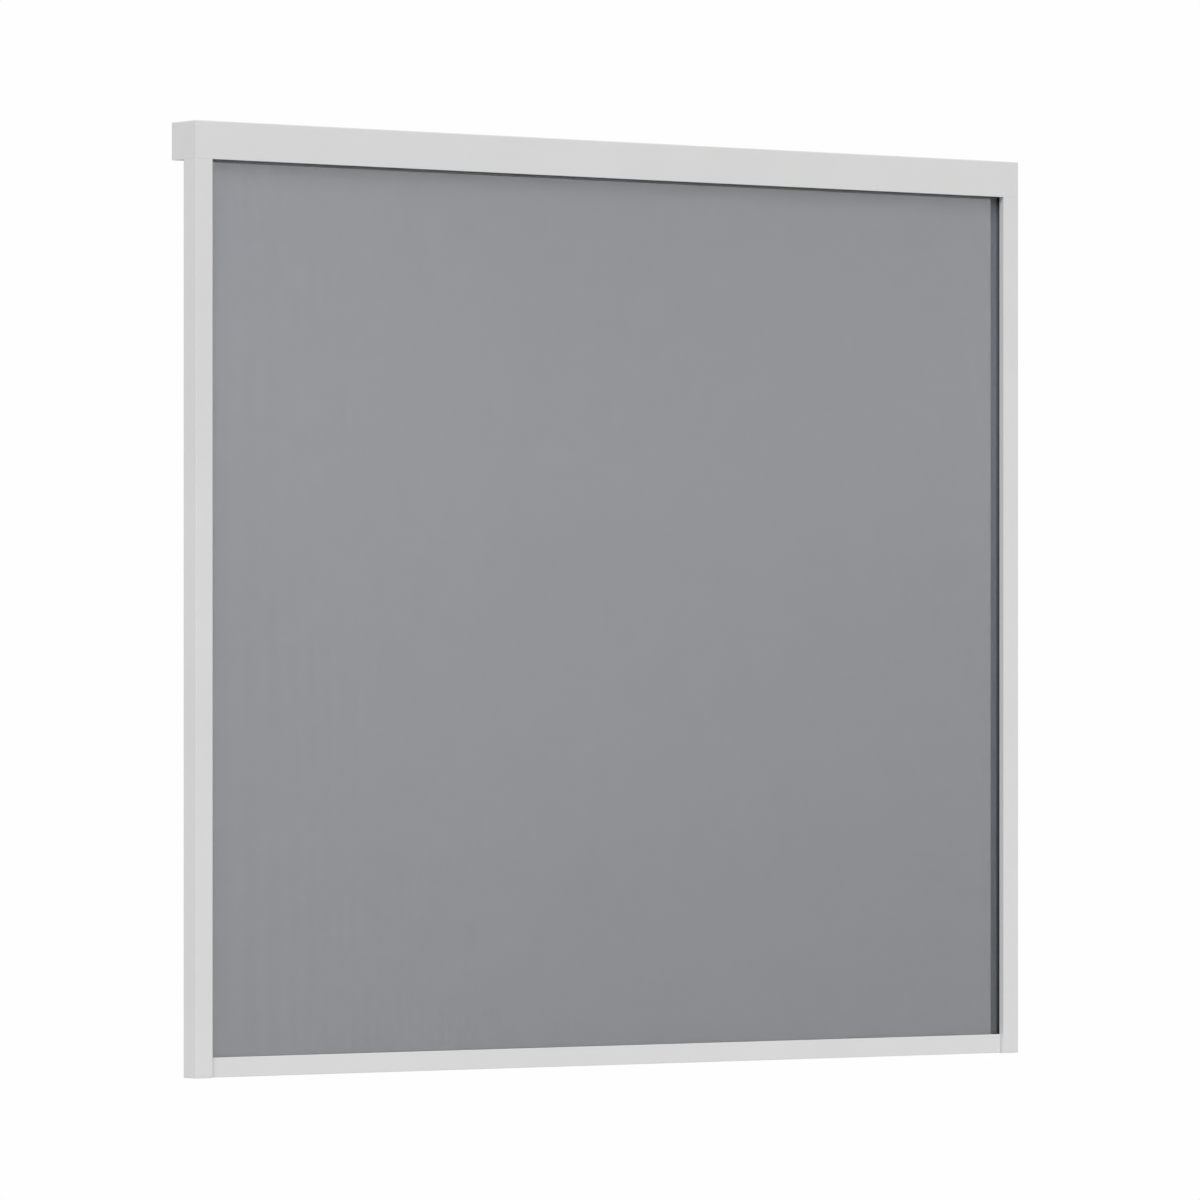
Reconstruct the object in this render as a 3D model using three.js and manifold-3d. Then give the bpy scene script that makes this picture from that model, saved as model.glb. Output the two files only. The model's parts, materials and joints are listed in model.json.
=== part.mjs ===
// Retractable roller mesh screen: a cassette with a spring roller above two slotted guide rails, a mesh
// sheet that runs down between them, and a pull bar on its lower edge. Millimetres, +X to the right,
// +Y to the back, +Z up. The origin is at the bottom, in the middle of the width and of the depth.
// The mesh is drawn down.

import * as THREE from 'three';
import { mergeVertices } from 'three/addons/utils/BufferGeometryUtils.js';
import Module from 'manifold-3d';

const wasm = await Module();
wasm.setup();

// ---------------------------------------------------------------- driving dimensions

const WIDTH = 1000; // over both guide rails
const HEIGHT = 900; // over cassette and rails
const CASSETTE = { height: 36, depth: 41, wall: 1.6, endPlate: 2 };
const RAIL = { width: 19, depth: 21, wall: 1.5, foot: 1.5 };
const BAR = { height: 19, depth: 14, setback: 5, wall: 1.3, sideGap: 0.4, floorGap: 0.3 };
const MESH = { setback: 9.3, thickness: 0.35, width: 972 }; // setback is from the front of the rails
const SLOT = 5; // open width of the slot that the mesh edge runs in
const ROLLER = { axisBehindMesh: 9.9, radius: 8.8, wall: 1.2, length: 976 };
const FIT = 0.3; // between fixed pieces that slide together
const TIGHT = 0.1; // between a plug and the tube that it is pressed in
const EMBED = 0.5; // overlap of shapes that are joined into one solid
const PAST = 1; // how far a cut runs past the faces it opens
const ARRIS = 1.3; // rounding of the cassette's long outer edges
const FINE_ARRIS = 0.5; // of the upright edges and those round the opening

// ---------------------------------------------------------------- places worked out from them

const half = WIDTH / 2;
const front = -CASSETTE.depth / 2;
const back = CASSETTE.depth / 2;
const railTop = HEIGHT - CASSETTE.height;
const railBack = front + RAIL.depth;
const meshY = front + MESH.setback;
const opening = half - RAIL.width; // inner face of a rail, from the middle
const shellEnd = half - CASSETTE.endPlate;
const axisY = meshY + ROLLER.axisBehindMesh;
const axisZ = railTop + CASSETTE.height / 2;

// ---------------------------------------------------------------- finishes

function finish(color, roughness, metalness) {
  return new THREE.MeshStandardMaterial({ color, roughness, metalness });
}

const coated = finish(0xd5d5d5, 0.55, 0.0); // powder-coated aluminium
const moulded = finish(0xd2d2d2, 0.6, 0.0); // plastic in the frame's colour
const pile = finish(0x1a1a1c, 0.95, 0.0);
const rubber = finish(0x202022, 0.9, 0.0);
const steel = finish(0xb8bbc0, 0.35, 0.9);
const mill = finish(0xc4c7cb, 0.4, 0.8);
const nylon = finish(0x2c2d30, 0.6, 0.0);
const fibre = finish(0x5f6266, 0.8, 0.0);

// ---------------------------------------------------------------- solids

/** A manifold solid from a closed three.js geometry. */
function solid(geometry) {
  const bare = geometry.clone();
  bare.deleteAttribute('normal');
  bare.deleteAttribute('uv');
  const merged = mergeVertices(bare, 1e-4);
  return new wasm.Manifold(new wasm.Mesh({
    numProp: 3,
    vertProperties: merged.attributes.position.array,
    triVerts: new Uint32Array(merged.index.array),
  }));
}

/** A three.js geometry with flat faces from a manifold solid. */
function geometryOf(shape) {
  const { numProp, vertProperties, triVerts } = shape.getMesh();
  const indexed = new THREE.BufferGeometry();
  const places = new Float32Array((vertProperties.length / numProp) * 3);
  for (let i = 0; i < places.length / 3; i += 1) {
    places.set(vertProperties.slice(i * numProp, i * numProp + 3), i * 3);
  }
  indexed.setAttribute('position', new THREE.BufferAttribute(places, 3));
  indexed.setIndex(new THREE.BufferAttribute(new Uint32Array(triVerts), 1));
  const flat = indexed.toNonIndexed();
  flat.computeVertexNormals();
  return flat;
}

/** A box between two values on each axis, whichever way round they come. */
function boxBetween([x0, x1], [y0, y1], [z0, z1]) {
  const box = new THREE.BoxGeometry(Math.abs(x1 - x0), Math.abs(y1 - y0), Math.abs(z1 - z0));
  return box.translate((x0 + x1) / 2, (y0 + y1) / 2, (z0 + z1) / 2);
}

/** A closed counter-clockwise outline through corners [a, b, radius], each rounded to its radius. */
function outline(listed, Kind = THREE.Shape) {
  const clockwise = THREE.ShapeUtils.isClockWise(listed.map(([a, b]) => new THREE.Vector2(a, b)));
  const corners = clockwise ? [...listed].reverse() : listed;
  const path = new Kind();
  corners.forEach(([a, b, radius = 0], i) => {
    const corner = new THREE.Vector2(a, b);
    const toward = (step) => {
      const next = corners[(i + step + corners.length) % corners.length];
      return new THREE.Vector2(next[0], next[1]).sub(corner).setLength(radius).add(corner);
    };
    const start = radius > 0 ? toward(-1) : corner;
    if (i === 0) path.moveTo(start.x, start.y);
    else path.lineTo(start.x, start.y);
    if (radius > 0) {
      const end = toward(1);
      path.quadraticCurveTo(a, b, end.x, end.y);
    }
  });
  return path;
}

/** Corners of a rectangle, all rounded to one radius. */
const rectangle = (a0, a1, b0, b1, radius = 0) => [
  [a0, b0, radius], [a1, b0, radius], [a1, b1, radius], [a0, b1, radius],
];

const ARRIS_STEPS = 3;

/** Extrudes a section drawn in X and Y from z0 up to z1. */
function alongZ(section, z0, z1) {
  const options = { depth: z1 - z0, bevelEnabled: false, curveSegments: ARRIS_STEPS };
  return new THREE.ExtrudeGeometry(section, options).translate(0, 0, z0);
}

/** Extrudes a section drawn in X and Z from y0 back to y1. */
function alongY(section, y0, y1) {
  const options = { depth: y1 - y0, bevelEnabled: false, curveSegments: ARRIS_STEPS };
  return new THREE.ExtrudeGeometry(section, options).rotateX(Math.PI / 2).translate(0, y1, 0);
}

/** Extrudes a section drawn in Y and Z from x0 to x1. */
function alongX(section, x0, x1, curveSegments = ARRIS_STEPS) {
  const [low, high] = [Math.min(x0, x1), Math.max(x0, x1)];
  const options = { depth: high - low, bevelEnabled: false, curveSegments };
  const turn = new THREE.Matrix4().makeBasis(
    new THREE.Vector3(0, 1, 0), new THREE.Vector3(0, 0, 1), new THREE.Vector3(1, 0, 0));
  return new THREE.ExtrudeGeometry(section, options).applyMatrix4(turn).translate(low, 0, 0);
}

const ROUND = 24; // sides of a turned piece
const SMALL_ROUND = 16;
const CORD_ROUND = 10;

/** Turned piece along X through (y, z): the profile holds [radius, distance along X] pairs. */
function turnedX(profile, y, z, sides = ROUND) {
  const points = profile.map(([radius, x]) => new THREE.Vector2(radius, x));
  return new THREE.LatheGeometry(points, sides).rotateZ(-Math.PI / 2).translate(0, y, z);
}

/** Plain rod along X through (y, z). */
function rodX(radius, x0, x1, y, z, sides = ROUND) {
  const [low, high] = [Math.min(x0, x1), Math.max(x0, x1)];
  return turnedX([[0, low], [radius, low], [radius, high], [0, high]], y, z, sides);
}

/** Plain rod along Y. */
function rodY(radius, y0, y1, x, z, sides = ROUND) {
  const rod = new THREE.CylinderGeometry(radius, radius, Math.abs(y1 - y0), sides);
  return rod.translate(x, (y0 + y1) / 2, z);
}

const joined = (...geometries) => geometries.map(solid).reduce((all, one) => all.add(one));
const cut = (shape, ...geometries) => geometries.reduce((left, one) => left.subtract(solid(one)), shape);

const screen = new THREE.Group();

/** Adds one named piece. */
function piece(name, shape, material) {
  const geometry = shape instanceof THREE.BufferGeometry ? shape : geometryOf(shape);
  const mesh = new THREE.Mesh(geometry, material);
  mesh.name = name;
  screen.add(mesh);
}

const SIDES = [['left', -1], ['right', 1]];

// ---------------------------------------------------------------- cassette

const EXIT_HALF = 4.2; // half the width of the slot that the mesh leaves by
const exitFront = meshY - EXIT_HALF;
const exitBack = meshY + EXIT_HALF;
const inner = {
  front: front + CASSETTE.wall,
  back: back - CASSETTE.wall,
  bottom: railTop + CASSETTE.wall,
  top: HEIGHT - CASSETTE.wall,
};
const LEG = { reach: 40, from: 1.8, to: 6.7 }; // end cap's leg: depth in the rail, and its width across X

function cassetteShell() {
  const section = outline([
    [exitFront, railTop],
    [exitFront, inner.bottom],
    [inner.front, inner.bottom],
    [inner.front, inner.top],
    [inner.back, inner.top],
    [inner.back, inner.bottom],
    [exitBack, inner.bottom],
    [exitBack, railTop],
    [back, railTop, ARRIS],
    [back, HEIGHT, ARRIS],
    [front, HEIGHT, ARRIS],
    [front, railTop],
  ]);
  const legNotch = (side) => boxBetween(
    [side * (half - LEG.to - FIT), side * half],
    [inner.front, railBack - RAIL.wall],
    [railTop - PAST, inner.bottom + PAST]);
  return cut(solid(alongX(section, -shellEnd, shellEnd)), legNotch(-1), legNotch(1));
}
piece('cassette_shell', cassetteShell(), coated);

const BOSS = { radius: 5.5, length: 7.5 }; // carries the roller's pin or shaft
const COLLAR = { reach: 5, wall: 1.4 }; // of the end cap, inside the shell
const BEARING_FLOOR = 3; // left outside the blind bearing hole
const PIN_RADIUS = 2.0;
const SHAFT_SIDE = 4.6; // of the square spring shaft
const RUNNING = 0.1; // radial clearance of a turning fit
const CONNECTOR_SCREW = { shank: 1.6, hole: 1.8, head: 3.0, headHeight: 1.8, length: 12, hex: 1.25 };
const screwX = half - (LEG.from + LEG.to) / 2;
const screwZ = railTop - LEG.reach / 2;

function squareRod(size, x0, x1) {
  return boxBetween([x0, x1], [axisY - size / 2, axisY + size / 2], [axisZ - size / 2, axisZ + size / 2]);
}

/** Hole for the screw that ties the leg to the back wall of the rail. */
function connectorHole(side) {
  const bottom = railBack - CONNECTOR_SCREW.length - PAST;
  return rodY(CONNECTOR_SCREW.hole, bottom, railBack + PAST, side * screwX, screwZ, SMALL_ROUND);
}

/** Corners of a rectangle that lies a margin inside the shell's walls. */
const insideShell = (margin) => rectangle(
  inner.front + margin, inner.back - margin, inner.bottom + margin, inner.top - margin);

/** Plate that closes the shell, with the shell's section and its outer edges rounded. */
function endPlate(side) {
  const [inside, outside] = [side * shellEnd, side * half];
  const section = outline([
    [front, railTop], [back, railTop, ARRIS], [back, HEIGHT, ARRIS], [front, HEIGHT, ARRIS],
  ]);
  const plan = outline([
    [inside, front], [outside, front, FINE_ARRIS], [outside, back, FINE_ARRIS], [inside, back],
  ]);
  const elevation = outline([
    [inside, railTop], [outside, railTop], [outside, HEIGHT, ARRIS], [inside, HEIGHT],
  ]);
  return solid(alongX(section, inside, outside))
    .intersect(solid(alongZ(plan, railTop, HEIGHT)))
    .intersect(solid(alongY(elevation, front, back)));
}

function endCap(side) {
  const collarSection = outline(insideShell(FIT));
  collarSection.holes.push(outline(insideShell(FIT + COLLAR.wall), THREE.Path));
  const plateSide = side * (shellEnd + EMBED);
  const collar = alongX(collarSection, side * (shellEnd - COLLAR.reach), plateSide);
  const boss = rodX(BOSS.radius, side * (shellEnd - BOSS.length), plateSide, axisY, axisZ);
  const leg = boxBetween(
    [side * (half - LEG.to), side * (half - LEG.from)],
    [front + LEG.from, railBack - LEG.from],
    [railTop - LEG.reach, inner.bottom + 3]);
  const [mouth, floor] = [side * (shellEnd - BOSS.length - PAST), side * (half - BEARING_FLOOR)];
  const bearing = side < 0
    ? rodX(PIN_RADIUS, mouth, floor, axisY, axisZ)
    : squareRod(SHAFT_SIDE + RUNNING, mouth, floor);
  return cut(endPlate(side).add(joined(collar, boss, leg)), bearing, connectorHole(side));
}

for (const [name, side] of SIDES) piece(`end_cap_${name}`, endCap(side), moulded);

const BRUSH = { thickness: 1.6, margin: 0.3 }; // of the backing, and from its faces to the pile's

/** Corners [along, level] of a brush strip: a backing from far to near, with a pile that reaches pileEnd. */
function brushCorners(far, near, pileEnd, level) {
  const top = level + BRUSH.thickness;
  return [
    [far, level], [near, level], [near, level + BRUSH.margin], [pileEnd, level + BRUSH.margin],
    [pileEnd, top - BRUSH.margin], [near, top - BRUSH.margin], [near, top], [far, top],
  ];
}

const CASSETTE_PILE_GAP = 0.5; // from the middle of the mesh
const CASSETTE_BRUSH_BASE = 2.1; // depth of the backing
const brushEnd = shellEnd - COLLAR.reach - PAST;

function cassetteBrush(direction) {
  const near = meshY + direction * EXIT_HALF;
  const pileEnd = meshY + direction * CASSETTE_PILE_GAP;
  const corners = brushCorners(near + direction * CASSETTE_BRUSH_BASE, near, pileEnd, inner.bottom);
  return alongX(outline(corners), -brushEnd, brushEnd);
}
piece('cassette_brush_front', cassetteBrush(-1), pile);
piece('cassette_brush_rear', cassetteBrush(1), pile);

// ---------------------------------------------------------------- guide rails

const across = (side, fromOutside) => side * (half - fromOutside); // distance in from a rail's outer face
const CHANNEL = { from: 8.3, halfDepth: 6.2 }; // space behind the slot
const WEB = 1.3; // between the channel and the hollows beside it
const lip = RAIL.width - RAIL.wall;
const slotFront = meshY - SLOT / 2;
const slotBack = meshY + SLOT / 2;

function guideRail(side) {
  const x = (fromOutside) => across(side, fromOutside);
  const section = outline([
    [x(0), front, FINE_ARRIS],
    [x(RAIL.width), front, FINE_ARRIS],
    [x(RAIL.width), slotFront],
    [x(lip), slotFront],
    [x(lip), meshY - CHANNEL.halfDepth],
    [x(CHANNEL.from), meshY - CHANNEL.halfDepth],
    [x(CHANNEL.from), meshY + CHANNEL.halfDepth],
    [x(lip), meshY + CHANNEL.halfDepth],
    [x(lip), slotBack],
    [x(RAIL.width), slotBack],
    [x(RAIL.width), railBack, FINE_ARRIS],
    [x(0), railBack, FINE_ARRIS],
  ]);
  section.holes.push(outline(rectangle(
    x(RAIL.wall), x(CHANNEL.from - WEB), front + RAIL.wall, railBack - RAIL.wall), THREE.Path));
  section.holes.push(outline(rectangle(
    x(CHANNEL.from), x(lip), meshY + CHANNEL.halfDepth + WEB, railBack - RAIL.wall), THREE.Path));
  return cut(solid(alongZ(section, RAIL.foot, railTop)), connectorHole(side));
}

const RAIL_BRUSH = { near: 2.9, far: 5.9, pileGap: 0.85, behindLip: 1.8 }; // from the middle of the mesh

function railBrush(side, direction) {
  const y = (distance) => meshY + direction * distance;
  const corners = brushCorners(
    y(RAIL_BRUSH.far), y(RAIL_BRUSH.near), y(RAIL_BRUSH.pileGap), lip - RAIL_BRUSH.behindLip);
  const section = outline(corners.map(([along, fromOutside]) => [across(side, fromOutside), along]));
  return alongZ(section, RAIL.foot + 2, railTop - EMBED);
}

/** Plugs of the foot: how far they stand up in the rail, and their clearance from its walls. */
const FOOT_PLUGS = { outer: 14, channel: 3.2, rear: 10, clearance: FIT };

function railFoot(side) {
  const x = (a, b) => [across(side, a), across(side, b)];
  const plan = rectangle(...x(0, RAIL.width), front, railBack, FINE_ARRIS);
  const flange = alongZ(outline(plan), 0, RAIL.foot);
  const base = RAIL.foot - EMBED;
  const { outer, channel, rear, clearance } = FOOT_PLUGS;
  const rearWall = railBack - RAIL.wall - clearance;
  const channelHalf = CHANNEL.halfDepth - clearance;
  return joined(
    flange,
    boxBetween(
      x(RAIL.wall + clearance, CHANNEL.from - WEB - clearance),
      [front + RAIL.wall + clearance, rearWall],
      [base, outer]),
    boxBetween(
      x(CHANNEL.from + clearance, lip - 2.1),
      [meshY - channelHalf, meshY + channelHalf],
      [base, channel]),
    boxBetween(
      x(CHANNEL.from + clearance, lip - clearance),
      [meshY + CHANNEL.halfDepth + WEB + clearance, rearWall],
      [base, rear]));
}

const CATCH_WIDTH = 6;

/** Leaf spring at the foot of the channel that grips the bar's guide head when the mesh is drawn down. */
function bottomCatch(side) {
  const profile = new THREE.Shape([
    [8.5, 3.3], [9.3, 3.3], [9.4, 12], [10.25, 17], [10.25, 18],
    [9.2, 22], [8.5, 22], [9.3, 17.5], [8.5, 12],
  ].map(([fromOutside, z]) => new THREE.Vector2(across(side, fromOutside), z)));
  const leaf = new THREE.ExtrudeGeometry(profile, { depth: CATCH_WIDTH, bevelEnabled: false });
  return leaf.rotateX(Math.PI / 2).translate(0, meshY + CATCH_WIDTH / 2, 0);
}

const BUFFER = { from: 9, to: 13.5, halfDepth: 3.2, height: 5.4 };

function topBuffer(side) {
  return boxBetween(
    [across(side, BUFFER.from), across(side, BUFFER.to)],
    [meshY - BUFFER.halfDepth, meshY + BUFFER.halfDepth],
    [railTop - FIT - BUFFER.height, railTop - FIT]);
}

function connectorScrew(side) {
  const { shank, head, headHeight, length, hex } = CONNECTOR_SCREW;
  const profile = [
    [0, -length], [shank * 0.4, -length], [shank, -length + 1.5], [shank, 0], [head, 0],
    [head, headHeight * 0.45], [head * 0.75, headHeight * 0.85], [head * 0.35, headHeight], [0, headHeight],
  ].map(([radius, y]) => new THREE.Vector2(radius, y));
  const body = new THREE.LatheGeometry(profile, SMALL_ROUND);
  const socket = new THREE.CylinderGeometry(hex, hex, 2, 6).translate(0, headHeight, 0);
  return geometryOf(cut(solid(body), socket)).translate(side * screwX, railBack, screwZ);
}

for (const [name, side] of SIDES) {
  piece(`guide_rail_${name}`, guideRail(side), coated);
  piece(`rail_brush_${name}_front`, railBrush(side, -1), pile);
  piece(`rail_brush_${name}_rear`, railBrush(side, 1), pile);
  piece(`rail_foot_${name}`, railFoot(side), moulded);
  piece(`bottom_catch_${name}`, bottomCatch(side), steel);
  piece(`top_buffer_${name}`, topBuffer(side), rubber);
  piece(`connector_screw_${name}`, connectorScrew(side), steel);
}

// ---------------------------------------------------------------- roller

const SPLINE_RADIUS = 1.1;
const POCKET = { radius: 1.3, at: 6.9, slit: 0.8, wall: 0.9 }; // keyhole groove for the mesh's upper edge
const tubeEnd = ROLLER.length / 2;
const tubeInner = ROLLER.radius - ROLLER.wall;
const pocketY = axisY + POCKET.at;

function rollerTube() {
  const barrel = solid(rodX(ROLLER.radius, -tubeEnd, tubeEnd, axisY, axisZ));
  const bore = rodX(tubeInner, -tubeEnd - PAST, tubeEnd + PAST, axisY, axisZ);
  const rib = solid(rodX(POCKET.radius + POCKET.wall, -tubeEnd, tubeEnd, pocketY, axisZ, SMALL_ROUND));
  const pocket = rodX(POCKET.radius, -tubeEnd - PAST, tubeEnd + PAST, pocketY, axisZ, SMALL_ROUND);
  const slit = boxBetween(
    [-tubeEnd - PAST, tubeEnd + PAST],
    [pocketY, axisY + ROLLER.radius + PAST],
    [axisZ - POCKET.slit / 2, axisZ + POCKET.slit / 2]);
  return cut(cut(barrel, bore).add(rib.intersect(barrel)), pocket, slit);
}

const PLUG = { length: 18, flange: 1.5, ribRoom: 1.3 };

/** Plug pressed in the tube, with a flange at its mouth and a bore for the piece it turns on. */
function tubePlug(side, bore) {
  const inside = side * (tubeEnd - PLUG.length);
  const mouth = side * (tubeEnd + TIGHT);
  const outside = mouth + side * PLUG.flange;
  const barrel = tubeInner - 2 * TIGHT;
  const profile = [
    [bore, inside], [barrel, inside], [barrel, mouth], [ROLLER.radius, mouth],
    [ROLLER.radius, outside], [bore, outside], [bore, inside],
  ];
  const plug = turnedX(side < 0 ? profile.reverse() : profile, axisY, axisZ);
  const ribRadius = POCKET.radius + PLUG.ribRoom;
  return cut(solid(plug), rodX(ribRadius, inside - side * PAST, mouth, pocketY, axisZ, SMALL_ROUND));
}

piece('roller_tube', rollerTube(), mill);
piece('roller_idler_plug', tubePlug(-1, PIN_RADIUS + RUNNING), nylon);
piece('roller_spring_bush', tubePlug(1, (SHAFT_SIDE * Math.SQRT2) / 2 + RUNNING), nylon);
piece('roller_spline', rodX(SPLINE_RADIUS, -tubeEnd + 2, tubeEnd - 2, pocketY, axisZ, CORD_ROUND), nylon);

/** Turns of mesh that stay on the roller when the rest is drawn down. */
const ROLL = { inner: 9.1, outer: 9.6 };
const rollEnd = MESH.width / 2;
piece('mesh_roll', turnedX([
  [ROLL.inner, -rollEnd], [ROLL.outer, -rollEnd], [ROLL.outer, rollEnd], [ROLL.inner, rollEnd],
  [ROLL.inner, -rollEnd],
], axisY, axisZ), fibre);

const pinEnd = half - BEARING_FLOOR - 2 * RUNNING; // in its blind hole
piece('idler_pin', rodX(PIN_RADIUS - RUNNING, -pinEnd, -(tubeEnd - 16), axisY, axisZ), steel);

const SPRING = { start: 330, end: 464, turns: 18, radius: 3.85, wire: 0.35 };
const ANCHOR = { length: 10, gap: 2 }; // gap is between the anchor and the spring's first turn
const anchorEnd = SPRING.start - ANCHOR.gap;
const anchorStart = anchorEnd - ANCHOR.length;
piece('spring_shaft', squareRod(SHAFT_SIDE, anchorStart - 2, pinEnd), steel);

function springAnchor() {
  const collar = rodX(SPRING.radius + SPRING.wire, anchorStart, anchorEnd, axisY, axisZ);
  return cut(solid(collar), squareRod(SHAFT_SIDE + 2 * RUNNING, anchorStart - PAST, anchorEnd + PAST));
}
piece('spring_anchor', springAnchor(), nylon);

class Helix extends THREE.Curve {
  getPoint(t, target = new THREE.Vector3()) {
    const turn = t * SPRING.turns * 2 * Math.PI;
    const x = SPRING.start + t * (SPRING.end - SPRING.start);
    return target.set(x, axisY + SPRING.radius * Math.cos(turn), axisZ + SPRING.radius * Math.sin(turn));
  }
}
const WIRE_SIDES = 5;
const STEPS_A_TURN = 10;

function torsionSpring() {
  const circle = new THREE.EllipseCurve(0, 0, SPRING.wire, SPRING.wire).getPoints(WIRE_SIDES);
  const section = new THREE.Shape(circle.slice(0, WIRE_SIDES));
  return new THREE.ExtrudeGeometry(section, {
    steps: SPRING.turns * STEPS_A_TURN, bevelEnabled: false, extrudePath: new Helix(),
  });
}
piece('torsion_spring', torsionSpring(), steel);

// ---------------------------------------------------------------- pull bar

const barFront = front + BAR.setback;
const barBack = barFront + BAR.depth;
const BAR_CAP = 2; // thickness of the end cap's plate
const barEnd = opening - BAR.sideGap;
const barShellEnd = barEnd - BAR_CAP;
const barPocket = { radius: 1.35, z: BAR.height - 3.4, slit: 0.9, room: 2.7 }; // groove for the mesh's edge
const GRIP = { reach: 6, thickness: 1.5, z: 9, tip: 4 }; // lip along the back that fingers pull
const barMiddle = (barFront + barBack) / 2;
const SEAL = { mouth: 1.4, cavity: 2.8, floor: 1.5, ceiling: 3.5, gap: 0.2 };

function barSection() {
  const neck = Math.asin(barPocket.slit / 2 / barPocket.radius);
  const section = new THREE.Shape();
  const bottom = BAR.floorGap;
  section.moveTo(barMiddle - SEAL.mouth, bottom);
  section.lineTo(barMiddle - SEAL.mouth, SEAL.floor);
  section.lineTo(barMiddle - SEAL.cavity, SEAL.floor);
  section.lineTo(barMiddle - SEAL.cavity, SEAL.ceiling);
  section.lineTo(barMiddle + SEAL.cavity, SEAL.ceiling);
  section.lineTo(barMiddle + SEAL.cavity, SEAL.floor);
  section.lineTo(barMiddle + SEAL.mouth, SEAL.floor);
  section.lineTo(barMiddle + SEAL.mouth, bottom);
  section.lineTo(barBack, bottom);
  section.lineTo(barBack, GRIP.z);
  section.lineTo(barBack + GRIP.reach, GRIP.z);
  section.lineTo(barBack + GRIP.reach, GRIP.z + GRIP.tip);
  section.lineTo(barBack + GRIP.reach - GRIP.thickness, GRIP.z + GRIP.tip);
  section.lineTo(barBack + GRIP.reach - GRIP.thickness, GRIP.z + GRIP.thickness);
  section.lineTo(barBack, GRIP.z + GRIP.thickness);
  section.lineTo(barBack, BAR.height - FINE_ARRIS);
  section.quadraticCurveTo(barBack, BAR.height, barBack - FINE_ARRIS, BAR.height);
  section.lineTo(meshY + barPocket.slit / 2, BAR.height);
  section.absarc(meshY, barPocket.z, barPocket.radius, Math.PI / 2 - neck, -Math.PI * 1.5 + neck, true);
  section.lineTo(meshY - barPocket.slit / 2, BAR.height);
  section.lineTo(barFront + FINE_ARRIS, BAR.height);
  section.quadraticCurveTo(barFront, BAR.height, barFront, BAR.height - FINE_ARRIS);
  section.lineTo(barFront, bottom + FINE_ARRIS);
  section.quadraticCurveTo(barFront, bottom, barFront + FINE_ARRIS, bottom);
  section.holes.push(outline([
    [barFront + BAR.wall, SEAL.ceiling + BAR.wall],
    [barBack - BAR.wall, SEAL.ceiling + BAR.wall],
    [barBack - BAR.wall, BAR.height - BAR.wall],
    [meshY + barPocket.room, BAR.height - BAR.wall],
    [meshY + barPocket.room, barPocket.z - barPocket.room],
    [barFront + BAR.wall, barPocket.z - barPocket.room],
  ], THREE.Path));
  return section;
}

const POCKET_STEPS = 12;
piece('pull_bar', alongX(barSection(), -barShellEnd, barShellEnd, POCKET_STEPS), coated);

/** Tongue and head of the end cap: half depths in Y, levels in Z, distances from the rail's outer face. */
const GUIDE = { neck: 0.6, bottom: 4, top: 16, neckTop: 14, headHalf: 3.2, from: 10.5, to: 15.0 };
const CAP_PLUG = 10; // how far the end cap reaches into the bar

/** End of the bar with the tongue that runs in the rail's slot and the head that it carries behind it. */
function barEndCap(side) {
  const face = outline(rectangle(barFront, barBack, BAR.floorGap, BAR.height, FINE_ARRIS));
  const plate = alongX(face, side * barShellEnd, side * barEnd);
  const plug = boxBetween(
    [side * (barShellEnd - CAP_PLUG), side * (barShellEnd + EMBED)],
    [barFront + BAR.wall + FIT, barBack - BAR.wall - FIT],
    [SEAL.ceiling + BAR.wall + FIT, barPocket.z - barPocket.room - FIT]);
  const tongue = boxBetween(
    [side * (barEnd - EMBED), across(side, GUIDE.to - EMBED)],
    [meshY - GUIDE.neck, meshY + GUIDE.neck],
    [GUIDE.bottom, GUIDE.neckTop]);
  const head = boxBetween(
    [across(side, GUIDE.from), across(side, GUIDE.to)],
    [meshY - GUIDE.headHalf, meshY + GUIDE.headHalf],
    [GUIDE.bottom, GUIDE.top]);
  const meshRoom = boxBetween(
    [side * (barShellEnd - PAST), side * (barEnd + PAST)],
    [meshY - barPocket.slit / 2, meshY + barPocket.slit / 2],
    [barPocket.z, BAR.height + PAST]);
  return cut(joined(plate, plug, tongue, head), meshRoom);
}
for (const [name, side] of SIDES) piece(`bar_end_cap_${name}`, barEndCap(side), moulded);

function barSeal() {
  const foot = SEAL.mouth - SEAL.gap;
  const wing = SEAL.cavity - SEAL.gap;
  const shoulder = SEAL.floor + SEAL.gap;
  const top = SEAL.ceiling - SEAL.gap;
  const sealEnd = barShellEnd - SEAL.gap;
  return alongX(outline([
    [barMiddle - foot, 0], [barMiddle + foot, 0], [barMiddle + foot, shoulder],
    [barMiddle + wing, shoulder], [barMiddle + wing, top], [barMiddle - wing, top],
    [barMiddle - wing, shoulder], [barMiddle - foot, shoulder],
  ]), -sealEnd, sealEnd);
}
piece('bar_seal', barSeal(), rubber);

const splineEnd = barShellEnd - PAST;
piece('bar_spline', rodX(SPLINE_RADIUS, -splineEnd, splineEnd, meshY, barPocket.z, CORD_ROUND), nylon);

// ---------------------------------------------------------------- mesh

piece('mesh_screen', boxBetween(
  [-MESH.width / 2, MESH.width / 2],
  [meshY - MESH.thickness / 2, meshY + MESH.thickness / 2],
  [barPocket.z + SPLINE_RADIUS + TIGHT, axisZ]), fibre);

export default screen;
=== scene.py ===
import json
import math
import random

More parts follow.
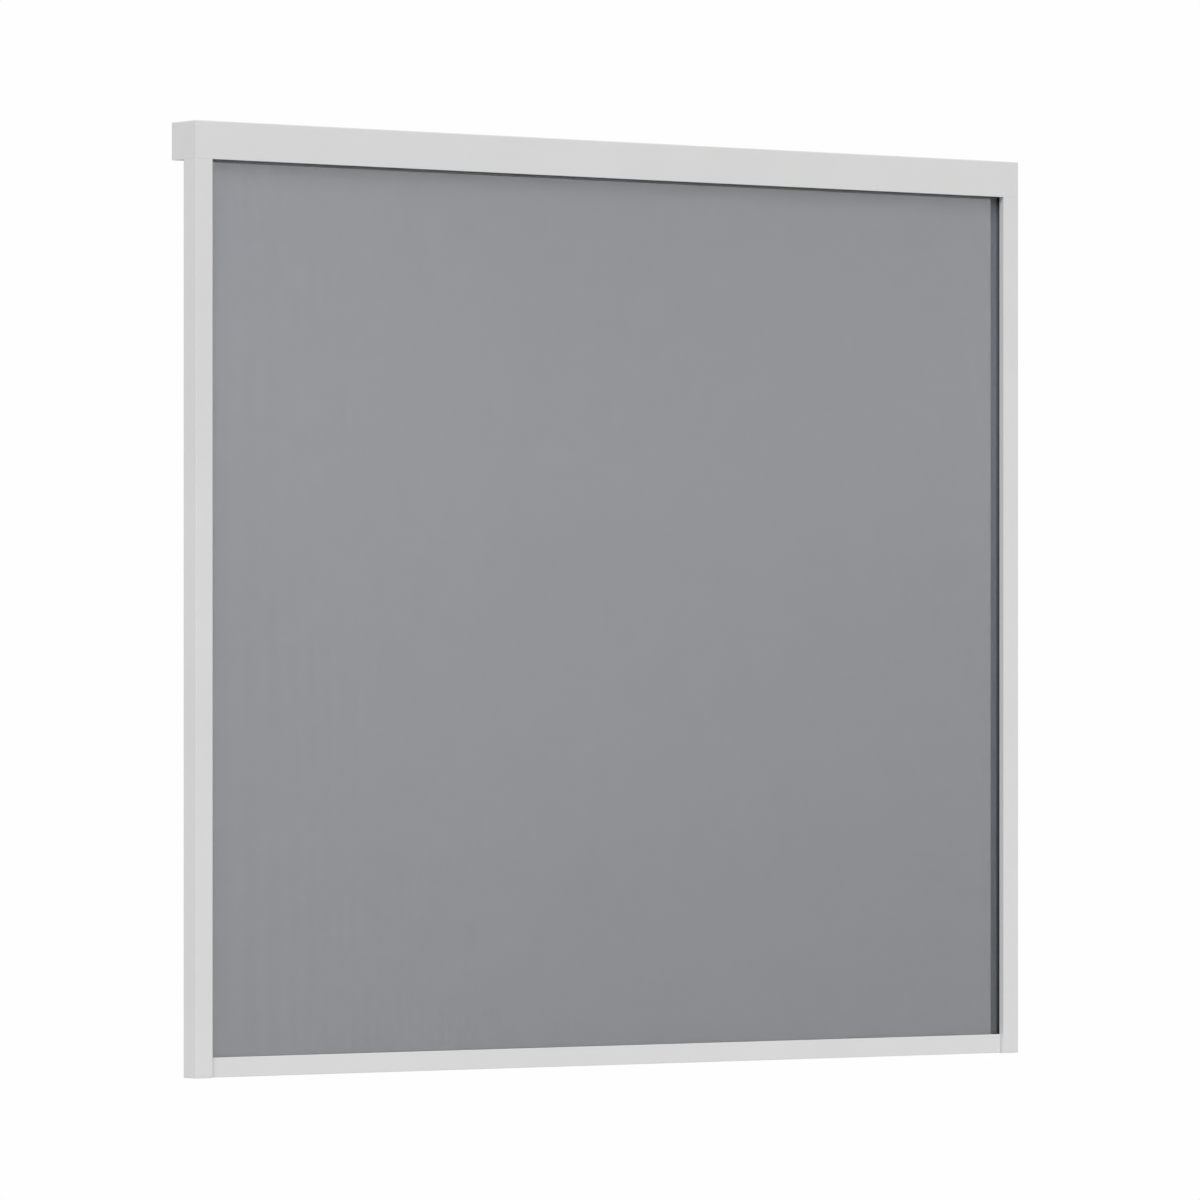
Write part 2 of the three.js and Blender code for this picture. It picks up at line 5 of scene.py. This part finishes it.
import bmesh
import bpy
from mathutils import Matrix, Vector


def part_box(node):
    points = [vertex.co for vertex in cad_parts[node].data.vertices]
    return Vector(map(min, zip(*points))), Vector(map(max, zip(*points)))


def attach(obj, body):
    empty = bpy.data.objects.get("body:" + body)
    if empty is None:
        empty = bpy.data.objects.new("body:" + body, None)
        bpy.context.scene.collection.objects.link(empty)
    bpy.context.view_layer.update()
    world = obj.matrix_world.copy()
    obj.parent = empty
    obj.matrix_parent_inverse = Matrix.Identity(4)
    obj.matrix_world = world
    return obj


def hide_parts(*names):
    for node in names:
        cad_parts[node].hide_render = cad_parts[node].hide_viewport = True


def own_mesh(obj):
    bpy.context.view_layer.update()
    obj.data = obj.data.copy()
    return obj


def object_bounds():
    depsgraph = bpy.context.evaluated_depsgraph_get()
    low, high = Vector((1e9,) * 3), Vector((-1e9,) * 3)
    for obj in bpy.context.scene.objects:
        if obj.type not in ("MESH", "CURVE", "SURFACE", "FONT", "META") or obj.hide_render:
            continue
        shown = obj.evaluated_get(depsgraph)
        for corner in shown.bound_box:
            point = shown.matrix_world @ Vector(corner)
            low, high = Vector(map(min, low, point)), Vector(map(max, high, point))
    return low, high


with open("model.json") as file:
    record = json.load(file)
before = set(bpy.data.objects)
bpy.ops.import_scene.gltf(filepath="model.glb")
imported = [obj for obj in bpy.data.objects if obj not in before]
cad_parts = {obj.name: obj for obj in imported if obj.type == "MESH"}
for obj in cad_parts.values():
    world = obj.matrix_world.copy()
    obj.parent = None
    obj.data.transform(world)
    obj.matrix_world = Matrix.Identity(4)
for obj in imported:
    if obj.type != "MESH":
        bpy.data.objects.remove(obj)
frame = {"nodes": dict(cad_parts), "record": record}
cad_low, cad_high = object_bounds()

MM = 0.001
NODES = frame["nodes"]


# ------------------------------------------------------------------ camera

HORIZONTAL_ANGLE = 36.7  # degrees, from the left
LENS_MM = 249.1
SENSOR_MM = 36
ARRIS_DISTANCE = 7.793  # along the view, to the front left arris
ARRIS_LATERAL = -0.3792  # of that arris, to the right of the view's axis
EYE_HEIGHT = 0.3418
SHIFT_UP = 0.0954


def make_camera():
    angle = math.radians(HORIZONTAL_ANGLE)
    ahead = Vector((math.sin(angle), math.cos(angle), 0))
    right = Vector((math.cos(angle), -math.sin(angle), 0))
    arris = Vector((cad_low.x, cad_low.y, 0))
    data = bpy.data.cameras.new("camera")
    data.lens = LENS_MM
    data.sensor_width = SENSOR_MM
    data.shift_y = SHIFT_UP
    data.clip_start, data.clip_end = 0.1, 100
    camera = bpy.data.objects.new("camera", data)
    camera.location = arris - ahead * ARRIS_DISTANCE - right * ARRIS_LATERAL + Vector((0, 0, EYE_HEIGHT))
    camera.rotation_euler = (math.radians(90), 0, -angle)
    bpy.context.collection.objects.link(camera)
    bpy.context.scene.camera = camera


make_camera()

# ------------------------------------------------------------------ light and stage

BEHIND_LIGHT = 0.70  # of the white sweep behind the object
BELOW_LIGHT = 0.56
ABOVE_LIGHT = 0.19  # of the room in front, above eye level
KEY_IRRADIANCE = 3.16
KEY_SPREAD = 42  # degrees across
KEY_ELEVATION = 45  # degrees
KEY_ANGLE = 32  # degrees, from the left
FLOOR_DROP = 0.7
FLOOR_RADIUS = 4.5
FLOOR_COLOUR = (0.62, 0.62, 0.62, 1)
FLOOR_FADE = (0.3, 0.98)  # of its radius
BACKDROP = 0.99  # what the camera sees of the world
HEIGHT_BLEND = 0.1  # half of the band between below and above, in the view direction's Z
DEPTH_BLEND = 0.15  # half of the band between in front and behind, in its Y


def make_world():
    """A white sweep: what the camera sees is white, and its light differs behind, below and above."""
    world = bpy.data.worlds.new("studio")
    world.use_nodes = True
    nodes, links = world.node_tree.nodes, world.node_tree.links
    nodes.clear()

    def step(value, low, high):
        ramp = nodes.new("ShaderNodeMapRange")
        ramp.interpolation_type = "SMOOTHSTEP"
        ramp.inputs["From Min"].default_value = low
        ramp.inputs["From Max"].default_value = high
        links.new(value, ramp.inputs["Value"])
        return ramp.outputs["Result"]

    def blend(factor, first, second):
        mix = nodes.new("ShaderNodeMix")
        for socket, value in (("A", first), ("B", second)):
            if isinstance(value, float):
                mix.inputs[socket].default_value = value
            else:
                links.new(value, mix.inputs[socket])
        links.new(factor, mix.inputs["Factor"])
        return mix.outputs["Result"]

    direction = nodes.new("ShaderNodeTexCoord")
    parts = nodes.new("ShaderNodeSeparateXYZ")
    links.new(direction.outputs["Generated"], parts.inputs["Vector"])
    front = blend(step(parts.outputs["Z"], -HEIGHT_BLEND, HEIGHT_BLEND), BELOW_LIGHT, ABOVE_LIGHT)
    around = blend(step(parts.outputs["Y"], -DEPTH_BLEND, DEPTH_BLEND), front, BEHIND_LIGHT)
    path = nodes.new("ShaderNodeLightPath")
    shade = nodes.new("ShaderNodeBackground")
    shade.inputs["Color"].default_value = (1, 1, 1, 1)
    links.new(blend(path.outputs["Is Camera Ray"], around, BACKDROP), shade.inputs["Strength"])
    out = nodes.new("ShaderNodeOutputWorld")
    links.new(shade.outputs[0], out.inputs["Surface"])
    bpy.context.scene.world = world


def make_key():
    data = bpy.data.lights.new("key", "SUN")
    data.energy = KEY_IRRADIANCE
    data.angle = math.radians(KEY_SPREAD)
    lamp = bpy.data.objects.new("key", data)
    turn, rise = math.radians(KEY_ANGLE), math.radians(KEY_ELEVATION)
    towards = Vector((-math.sin(turn) * math.cos(rise), -math.cos(turn) * math.cos(rise), math.sin(rise)))
    lamp.rotation_euler = towards.to_track_quat("Z", "Y").to_euler()
    lamp.location = towards * 3  # a sun lights alike from any place
    bpy.context.collection.objects.link(lamp)


def make_floor():
    """A pale round floor well under the object, which fades out towards its edge."""
    body = bmesh.new()
    bmesh.ops.create_circle(body, cap_ends=True, segments=96, radius=FLOOR_RADIUS)
    mesh = bpy.data.meshes.new("floor")
    body.to_mesh(mesh)
    body.free()
    floor = bpy.data.objects.new("floor", mesh)
    floor.location.z = cad_low.z - FLOOR_DROP
    bpy.context.collection.objects.link(floor)
    material = bpy.data.materials.new("floor")
    material.use_nodes = True
    nodes, links = material.node_tree.nodes, material.node_tree.links
    surface = nodes["Principled BSDF"]
    surface.inputs["Base Color"].default_value = FLOOR_COLOUR
    surface.inputs["Roughness"].default_value = 0.9
    place = nodes.new("ShaderNodeTexCoord")
    length = nodes.new("ShaderNodeVectorMath")
    length.operation = "LENGTH"
    links.new(place.outputs["Object"], length.inputs[0])
    fade = nodes.new("ShaderNodeMapRange")
    fade.interpolation_type = "SMOOTHSTEP"
    fade.inputs["From Min"].default_value = FLOOR_RADIUS * FLOOR_FADE[0]
    fade.inputs["From Max"].default_value = FLOOR_RADIUS * FLOOR_FADE[1]
    fade.inputs["To Min"].default_value = 1
    fade.inputs["To Max"].default_value = 0
    links.new(length.outputs["Value"], fade.inputs["Value"])
    links.new(fade.outputs["Result"], surface.inputs["Alpha"])
    mesh.materials.append(material)


make_world()
make_key()
make_floor()

scene = bpy.context.scene
scene.view_settings.view_transform = "Standard"
scene.view_settings.look = "None"

# ------------------------------------------------------------------ materials


NOISE_RANGE = (0.3, 0.7)  # where most values of a noise texture lie


class Shader:
    """A material's node tree, with short helpers. Noise scales are per metre, bump distances in metres."""

    def __init__(self, name, colour, roughness, metallic=0.0):
        self.material = bpy.data.materials.new(name)
        self.material.use_nodes = True
        self.tree = self.material.node_tree
        self.surface = self.tree.nodes["Principled BSDF"]
        self.surface.inputs["Base Color"].default_value = (*colour, 1)
        self.surface.inputs["Roughness"].default_value = roughness
        self.surface.inputs["Metallic"].default_value = metallic
        self.place = self.tree.nodes.new("ShaderNodeTexCoord").outputs["Object"]

    def link(self, source, target):
        self.tree.links.new(source, target)

    def stretched(self, scale):
        mapping = self.tree.nodes.new("ShaderNodeMapping")
        mapping.inputs["Scale"].default_value = scale
        self.link(self.place, mapping.inputs["Vector"])
        return mapping.outputs["Vector"]

    def noise(self, scale, detail=2.0, place=None):
        noise = self.tree.nodes.new("ShaderNodeTexNoise")
        noise.inputs["Scale"].default_value = scale
        noise.inputs["Detail"].default_value = detail
        self.link(place or self.place, noise.inputs["Vector"])
        return noise.outputs["Fac"]

    def ranged(self, value, low, high):
        spread = self.tree.nodes.new("ShaderNodeMapRange")
        spread.inputs["From Min"].default_value = NOISE_RANGE[0]
        spread.inputs["From Max"].default_value = NOISE_RANGE[1]
        spread.inputs["To Min"].default_value = low
        spread.inputs["To Max"].default_value = high
        self.link(value, spread.inputs["Value"])
        return spread.outputs["Result"]

    def mixed(self, factor, dark, light):
        mix = self.tree.nodes.new("ShaderNodeMix")
        mix.data_type = "RGBA"
        mix.inputs["A"].default_value = (*dark, 1)
        mix.inputs["B"].default_value = (*light, 1)
        self.link(factor, mix.inputs["Factor"])
        return mix.outputs["Result"]

    def bump(self, height, strength, distance, under=None):
        bump = self.tree.nodes.new("ShaderNodeBump")
        bump.inputs["Strength"].default_value = strength
        bump.inputs["Distance"].default_value = distance
        self.link(height, bump.inputs["Height"])
        if under is not None:
            self.link(under, bump.inputs["Normal"])
        return bump.outputs["Normal"]


def shaded(colour, share):
    return tuple(c * share for c in colour)


def powder_coat():
    colour = (0.665, 0.665, 0.663)
    s = Shader("powder_coat", colour, 0.5)
    s.link(s.mixed(s.ranged(s.noise(9, 3), 0, 1), shaded(colour, 0.985), shaded(colour, 1.012)),
           s.surface.inputs["Base Color"])
    s.link(s.ranged(s.noise(260, 3), 0.44, 0.56), s.surface.inputs["Roughness"])
    peel = s.bump(s.noise(900, 2), 0.25, 0.00006)
    s.link(s.bump(s.noise(3800, 1), 0.2, 0.00002, peel), s.surface.inputs["Normal"])
    return s.material


def moulded_plastic():
    colour = (0.662, 0.662, 0.66)
    s = Shader("moulded_plastic", colour, 0.54)
    s.link(s.mixed(s.ranged(s.noise(30, 3), 0, 1), shaded(colour, 0.98), shaded(colour, 1.01)),
           s.surface.inputs["Base Color"])
    s.link(s.ranged(s.noise(500, 2), 0.52, 0.64), s.surface.inputs["Roughness"])
    s.link(s.bump(s.noise(5200, 1), 0.35, 0.00003), s.surface.inputs["Normal"])
    return s.material


def dark_plastic(name, colour, roughness):
    s = Shader(name, colour, roughness)
    s.link(s.mixed(s.ranged(s.noise(60, 3), 0, 1), shaded(colour, 0.8), shaded(colour, 1.25)),
           s.surface.inputs["Base Color"])
    s.link(s.ranged(s.noise(700, 2), roughness - 0.06, roughness + 0.06), s.surface.inputs["Roughness"])
    s.link(s.bump(s.noise(3000, 2), 0.4, 0.00004), s.surface.inputs["Normal"])
    return s.material


def drawn_metal(name, colour, roughness):
    """Metal with fine lines along X, as drawing or extruding leaves them."""
    s = Shader(name, colour, roughness, 1.0)
    lines = s.noise(1, 3, s.stretched((12, 5200, 5200)))
    s.link(s.mixed(s.ranged(s.noise(40, 3), 0, 1), shaded(colour, 0.9), shaded(colour, 1.06)),
           s.surface.inputs["Base Color"])
    s.link(s.ranged(lines, roughness - 0.08, roughness + 0.1), s.surface.inputs["Roughness"])
    s.link(s.bump(lines, 0.3, 0.00002), s.surface.inputs["Normal"])
    return s.material


def thread():
    colour = (0.083, 0.095, 0.12)
    s = Shader("mesh_thread", colour, 0.55)
    s.link(s.mixed(s.ranged(s.noise(45, 3), 0, 1), shaded(colour, 0.97), shaded(colour, 1.03)),
           s.surface.inputs["Base Color"])
    s.link(s.ranged(s.noise(900, 2), 0.5, 0.62), s.surface.inputs["Roughness"])
    s.link(s.bump(s.noise(4000, 2), 0.3, 0.00003), s.surface.inputs["Normal"])
    return s.material


FINISHES = {
    "coated": powder_coat(),
    "moulded": moulded_plastic(),
    "pile": dark_plastic("brush_fibre", (0.012, 0.012, 0.013), 0.8),
    "rubber": dark_plastic("rubber", (0.015, 0.015, 0.016), 0.75),
    "steel": drawn_metal("zinc_steel", (0.52, 0.53, 0.55), 0.35),
    "mill": drawn_metal("mill_aluminium", (0.6, 0.61, 0.63), 0.4),
    "nylon": dark_plastic("nylon", (0.03, 0.031, 0.034), 0.55),
    "fibre": thread(),
}

for part in frame["record"]["subparts"]:
    mesh = NODES[part["node"]].data
    mesh.materials.clear()
    mesh.materials.append(FINISHES[part["material_slot"]])

# ------------------------------------------------------------------ pieces


BODY_OF = {node: body for body, nodes in frame["record"]["behaviour"]["bodies"].items() for node in nodes}
SLOT_OF = {part["node"]: part["material_slot"] for part in frame["record"]["subparts"]}


def add_piece(name, mesh, node):
    """Adds a mesh as the piece that stands for a CAD node, on its body and in its finish."""
    mesh.materials.append(FINISHES[SLOT_OF[node]])
    piece = bpy.data.objects.new(name, mesh)
    bpy.context.collection.objects.link(piece)
    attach(piece, BODY_OF[node])
    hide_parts(node)
    return piece


def outward(vertices, faces, name):
    """A mesh of closed solids, with its faces turned to point out."""
    mesh = bpy.data.meshes.new(name)
    mesh.from_pydata(vertices, [], faces)
    body = bmesh.new()
    body.from_mesh(mesh)
    bmesh.ops.recalc_face_normals(body, faces=body.faces)
    body.to_mesh(mesh)
    body.free()
    return mesh


MERGE_WITHIN = 0.001 * MM
FLAT_WITHIN = math.radians(1)
SHARP = math.radians(35)
BROKEN_EDGE = 0.18 * MM
EDGE_STEPS = 2


def add_refined(node):
    """The node's own shape, with its sharp edges softly broken and its curves shaded smooth."""
    body = bmesh.new()
    body.from_mesh(NODES[node].data)
    bmesh.ops.remove_doubles(body, verts=body.verts, dist=MERGE_WITHIN)
    bmesh.ops.dissolve_limit(body, angle_limit=FLAT_WITHIN, verts=body.verts, edges=body.edges)
    sharp = [e for e in body.edges if len(e.link_faces) == 2 and e.calc_face_angle(0) > SHARP]
    bmesh.ops.bevel(body, geom=sharp, offset=BROKEN_EDGE, offset_type="OFFSET", segments=EDGE_STEPS,
                    profile=0.5, affect="EDGES", clamp_overlap=False)
    bmesh.ops.recalc_face_normals(body, faces=body.faces)
    mesh = bpy.data.meshes.new(f"{node}_fine")
    body.to_mesh(mesh)
    body.free()
    mesh.shade_smooth()
    piece = add_piece(f"{node}_fine", mesh, node)
    piece.modifiers.new("even shading", "WEIGHTED_NORMAL").keep_sharp = True


# The brush strips: a backing, with two rows of fine tapered fibres that lean unevenly.
ACROSS, UP = 0, 2  # axes that a strip may run along
FIBRE_PITCH = 0.8 * MM
FIBRE_WIDTH = 0.22 * MM
FIBRE_TIP_WIDTH = FIBRE_WIDTH / 2
FIBRE_LEAN = 0.12  # most, as a share of a fibre's length, either way
SHORTEST_FIBRE = 0.9  # as a share of the longest
FIBRE_ROOT = 0.1 * MM  # sunk in the backing
ROW_OFFSET = 0.3  # of half the strip's thickness, to either side
CORNERS = ((-1, -1), (1, -1), (1, 1), (-1, 1))


def add_brush(node, along, toward, backing):
    """A brush strip that runs along one axis, with its fibres pointing to +Y or -Y (toward is 1 or -1)."""
    low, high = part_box(node)
    through = UP if along == ACROSS else ACROSS
    heel, tip = (low.y, high.y) if toward > 0 else (high.y, low.y)
    root = heel + toward * backing
    length = abs(tip - root)
    middle = [(a + b) / 2 for a, b in zip(low, high)]
    half = [(b - a) / 2 for a, b in zip(low, high)]
    chance = random.Random(node)
    vertices, faces = [], []

    def section(place, y, beside, half_along, half_through):
        corners = []
        for a, b in CORNERS:
            corner = [0.0, y, 0.0]
            corner[along] = place + a * half_along
            corner[through] = beside + b * half_through
            corners.append(tuple(corner))
        return corners

    def prism(first_end, last_end):
        first = len(vertices)
        vertices.extend(first_end + last_end)
        for k in range(4):
            follow = (k + 1) % 4
            faces.append((first + k, first + follow, first + 4 + follow, first + 4 + k))
        faces.append((first + 3, first + 2, first + 1, first))
        faces.append((first + 4, first + 5, first + 6, first + 7))

    def whole(y):
        return section(middle[along], y, middle[through], half[along], half[through])

    prism(whole(heel), whole(root))
    count = int((2 * half[along] - 2 * FIBRE_WIDTH) / FIBRE_PITCH)
    start = middle[along] - (count - 1) * FIBRE_PITCH / 2
    for row in (-1, 1):
        beside = middle[through] + row * ROW_OFFSET * half[through]
        for i in range(count):
            stagger = FIBRE_PITCH / 2 if row > 0 and i < count - 1 else 0
            place = start + i * FIBRE_PITCH + stagger
            lean = chance.uniform(-1, 1) * FIBRE_LEAN * length
            reach = root + toward * length * chance.uniform(SHORTEST_FIBRE, 1)
            prism(section(place, root - toward * FIBRE_ROOT, beside, FIBRE_WIDTH / 2, FIBRE_WIDTH / 2),
                  section(place + lean, reach, beside, FIBRE_TIP_WIDTH / 2, FIBRE_TIP_WIDTH / 2))
    add_piece(f"{node}_fine", outward(vertices, faces, f"{node}_fine"), node)


# The mesh sheet: two layers of straight flattened threads, bonded where they cross.
PITCH = 0.56 * MM
THREAD_WIDTH = 0.309 * MM
THREAD_DEPTH = 0.112 * MM
THREAD_SIDES = 8
LAYER_OFFSET = THREAD_DEPTH * 0.25  # of each layer, from the middle of the sheet


def threads(vertices, faces, start, count, step, along, length, layer):
    """count parallel flattened threads, a step apart, which run a length along a direction."""
    sideways = step.normalized()
    for i in range(count):
        centre = start + step * i
        first = len(vertices)
        for end in (0, length):
            for k in range(THREAD_SIDES):
                turn = 2 * math.pi * (k + 0.5) / THREAD_SIDES
                offset = sideways * math.cos(turn) * THREAD_WIDTH / 2
                depth = Vector((0, math.sin(turn) * THREAD_DEPTH / 2 + layer, 0))
                vertices.append(centre + along * end + offset + depth)
        for k in range(THREAD_SIDES):
            follow = (k + 1) % THREAD_SIDES
            faces.append((first + k, first + follow, first + THREAD_SIDES + follow, first + THREAD_SIDES + k))
        faces.append(tuple(first + k for k in reversed(range(THREAD_SIDES))))
        faces.append(tuple(first + THREAD_SIDES + k for k in range(THREAD_SIDES)))


def add_mesh_sheet():
    low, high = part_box("mesh_screen")
    width, drop = high.x - low.x, high.z - low.z
    middle = (low.y + high.y) / 2
    vertices, faces = [], []
    warp, weft = int(width / PITCH), int(drop / PITCH)
    left = low.x + (width - (warp - 1) * PITCH) / 2
    foot = low.z + (drop - (weft - 1) * PITCH) / 2
    threads(vertices, faces, Vector((left, middle, low.z)), warp, Vector((PITCH, 0, 0)),
            Vector((0, 0, 1)), drop, -LAYER_OFFSET)
    threads(vertices, faces, Vector((low.x, middle, foot)), weft, Vector((0, 0, PITCH)),
            Vector((1, 0, 0)), width, LAYER_OFFSET)
    sheet = add_piece("mesh_sheet", outward(vertices, faces, "mesh_sheet"), "mesh_screen")
    for face in sheet.data.polygons:
        face.use_smooth = len(face.vertices) == 4
    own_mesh(sheet)


add_mesh_sheet()

REFINED = [
    "cassette_shell", "end_cap_left", "end_cap_right", "guide_rail_left", "guide_rail_right",
    "rail_foot_left", "rail_foot_right", "pull_bar", "bar_end_cap_left", "bar_end_cap_right",
    "connector_screw_left", "connector_screw_right", "bottom_catch_left", "bottom_catch_right",
    "top_buffer_left", "top_buffer_right", "bar_seal",
]
for node in REFINED:
    add_refined(node)

CASSETTE_BACKING = 2.1 * MM
RAIL_BACKING = 3.0 * MM
STRIPS = (("front", 1), ("rear", -1))
for place, toward in STRIPS:
    add_brush(f"cassette_brush_{place}", ACROSS, toward, CASSETTE_BACKING)
for side in ("left", "right"):
    for place, toward in STRIPS:
        add_brush(f"rail_brush_{side}_{place}", UP, toward, RAIL_BACKING)
